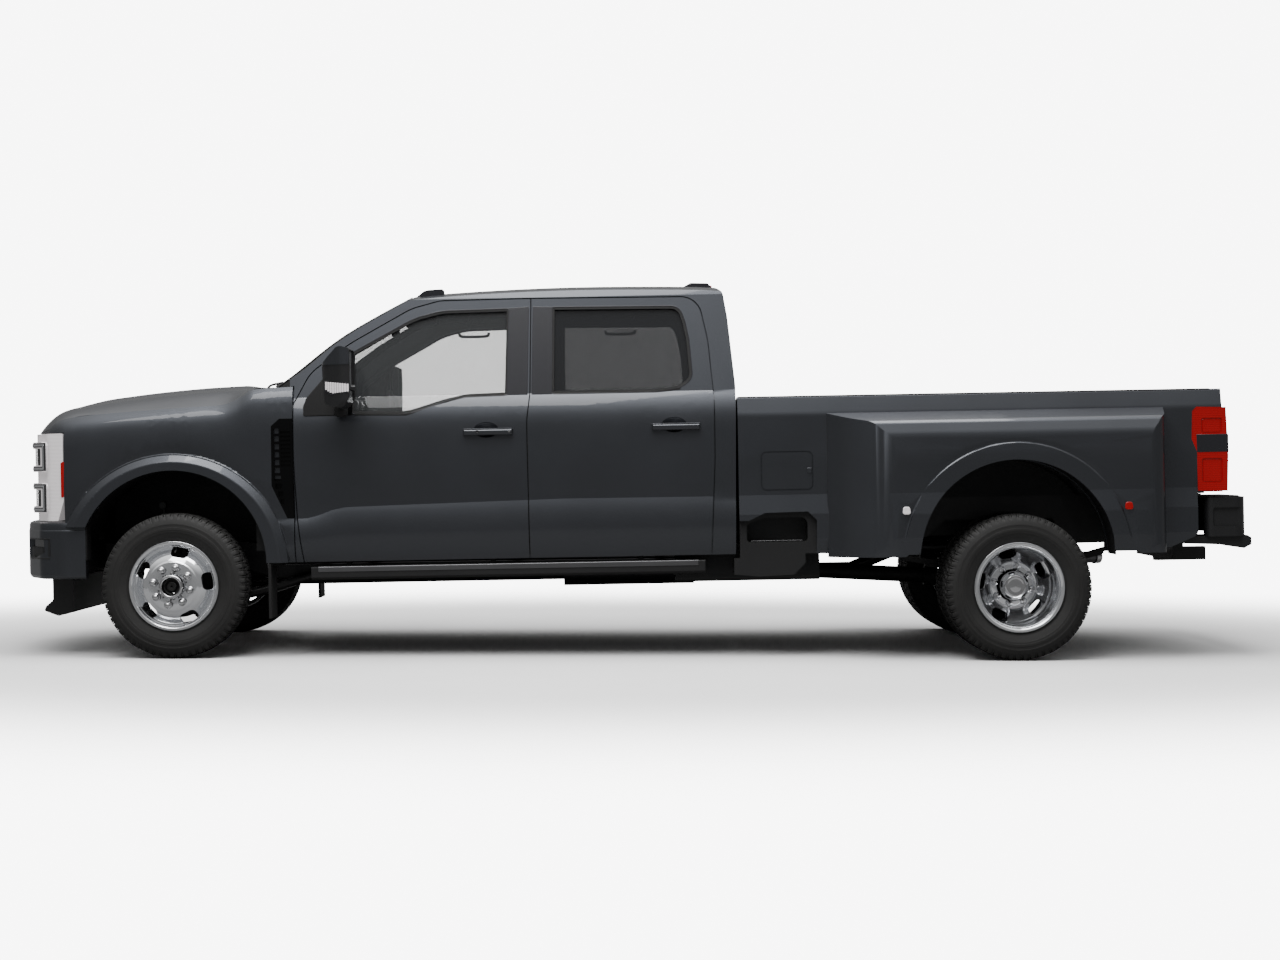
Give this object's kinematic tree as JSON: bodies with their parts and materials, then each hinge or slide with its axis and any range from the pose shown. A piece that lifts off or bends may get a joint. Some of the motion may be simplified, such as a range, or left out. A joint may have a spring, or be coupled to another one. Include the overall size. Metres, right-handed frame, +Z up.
{
  "type": "pickup truck",
  "caption": "Crew-cab pickup truck with a long open load bed, wide arches over twin rear wheels, opening doors, hood and tailgate, and steered front wheels.",
  "frame": {"origin": "on the ground, midway along, across the truck", "axes": "-X towards the front, +Y to the truck's right, +Z up"},
  "size_m": [6.7613, 2.69, 2.0629],
  "materials": {
    "body_paint": "dark grey metallic clear coat",
    "glass": "tinted",
    "black_plastic": "grained",
    "gloss_black": "glossy",
    "lamp_clear": "clear lens over chrome",
    "lamp_red": "red lens",
    "lamp_amber": "amber lens",
    "chassis_black": "satin black",
    "cast": "rough",
    "steel": "dull",
    "polished_alloy": "polished",
    "tyre": "matt",
    "rubber": "matt",
    "seat_cloth": "woven"
  },
  "bodies": {
    "truck": {"cab_pillars": "body_paint", "cab_roof": "body_paint", "cab_back_panel": "body_paint", "cab_glass": "glass", "cab_firewall": "black_plastic", "cab_floor": "chassis_black", "front_fenders": "body_paint", "headlamps": "lamp_clear", "grille": "gloss_black", "front_bumper": "body_paint", "air_dam": "black_plastic", "radiator_support": "chassis_black", "wheel_liners": "black_plastic", "bed_sides": "body_paint", "bed_floor": "body_paint", "bed_front_wall": "body_paint", "tail_lamps": "lamp_red", "rear_bumper": "body_paint", "frame": "chassis_black", "bed_sills": "chassis_black", "engine_block": "cast", "transmission": "cast", "fuel_tank": "black_plastic", "hitch_receiver": "chassis_black", "running_boards": "black_plastic", "side_steps": "black_plastic", "mud_flaps": "rubber", "dashboard": "black_plastic", "seats": "seat_cloth", "front_axle": "chassis_black", "rear_axle": "chassis_black", "suspension": "chassis_black", "roof_lamps": "lamp_amber", "fender_vents": "gloss_black", "exhaust": "steel"},
    "hood": {"hood": "body_paint"},
    "tailgate": {"tailgate": "body_paint"},
    "fuel_door": {"fuel_door": "body_paint"},
    "tie_rod": {"tie_rod": "steel"},
    "front_door_left": {"door_front_left": "body_paint", "door_glass_front_left": "glass", "mirror_left": "gloss_black"},
    "front_door_right": {"door_front_right": "body_paint", "door_glass_front_right": "glass", "mirror_right": "gloss_black"},
    "rear_door_left": {"door_rear_left": "body_paint", "door_glass_rear_left": "glass"},
    "rear_door_right": {"door_rear_right": "body_paint", "door_glass_rear_right": "glass"},
    "front_wheel_left": {"tyre_front_left": "tyre", "rim_front_left": "polished_alloy"},
    "rear_wheels_left": {"tyres_rear_left": "tyre", "rims_rear_left": "polished_alloy"},
    "knuckle_left": {"knuckle_left": "cast"},
    "front_wheel_right": {"tyre_front_right": "tyre", "rim_front_right": "polished_alloy"},
    "rear_wheels_right": {"tyres_rear_right": "tyre", "rims_rear_right": "polished_alloy"},
    "knuckle_right": {"knuckle_right": "cast"}
  },
  "joints": [
    {"name": "steer_left", "type": "hinge", "parent": "truck", "child": "knuckle_left", "pos_m": [-2.40528, -0.82, 0.386], "axis": [0, 0, 1], "range_deg": [-34, 34]},
    {"name": "spin_front_left", "type": "hinge", "parent": "knuckle_left", "child": "front_wheel_left", "pos_m": [-2.40528, -0.95, 0.386], "axis": [0, 1, 0], "continuous": true},
    {"name": "spin_rear_left", "type": "hinge", "parent": "truck", "child": "rear_wheels_left", "pos_m": [2.06472, -0.94, 0.386], "axis": [0, 1, 0], "continuous": true},
    {"name": "open_front_door_left", "type": "hinge", "parent": "truck", "child": "front_door_left", "pos_m": [-1.77214, -1.016, 1.01171], "axis": [-0.0183, 0, 0.9998], "range_deg": [-65, 0]},
    {"name": "open_rear_door_left", "type": "hinge", "parent": "truck", "child": "rear_door_left", "pos_m": [-0.52635, -1.016, 1.03454], "axis": [-0.0183, 0, 0.9998], "range_deg": [-65, 0]},
    {"name": "steer_right", "type": "hinge", "parent": "truck", "child": "knuckle_right", "pos_m": [-2.40528, 0.82, 0.386], "axis": [0, 0, 1], "range_deg": [-34, 34]},
    {"name": "spin_front_right", "type": "hinge", "parent": "knuckle_right", "child": "front_wheel_right", "pos_m": [-2.40528, 0.95, 0.386], "axis": [0, 1, 0], "continuous": true},
    {"name": "spin_rear_right", "type": "hinge", "parent": "truck", "child": "rear_wheels_right", "pos_m": [2.06472, 0.94, 0.386], "axis": [0, 1, 0], "continuous": true},
    {"name": "open_front_door_right", "type": "hinge", "parent": "truck", "child": "front_door_right", "pos_m": [-1.77214, 1.016, 1.01171], "axis": [-0.0183, 0, 0.9998], "range_deg": [0, 65]},
    {"name": "open_rear_door_right", "type": "hinge", "parent": "truck", "child": "rear_door_right", "pos_m": [-0.52635, 1.016, 1.03454], "axis": [-0.0183, 0, 0.9998], "range_deg": [0, 65]},
    {"name": "tie_rod_pivot", "type": "hinge", "parent": "knuckle_left", "child": "tie_rod", "pos_m": [-2.20528, -0.82, 0.294], "axis": [0, 0, 1], "range_deg": [-34, 34]},
    {"name": "open_hood", "type": "hinge", "parent": "truck", "child": "hood", "pos_m": [-2.01246, 0, 1.46338], "axis": [0, 1, 0], "range_deg": [0, 45]},
    {"name": "open_tailgate", "type": "hinge", "parent": "truck", "child": "tailgate", "pos_m": [3.14826, 0, 0.92586], "axis": [0, 1, 0], "range_deg": [0, 90]},
    {"name": "open_fuel_door", "type": "hinge", "parent": "truck", "child": "fuel_door", "pos_m": [0.71954, -1.0125, 0.99736], "axis": [0.0183, 0, -0.9998], "range_deg": [0, 100]}
  ],
  "couplings": [
    {"joint": "steer_right", "follows": "steer_left", "ratio": 1},
    {"joint": "tie_rod_pivot", "follows": "steer_left", "ratio": -1}
  ]
}
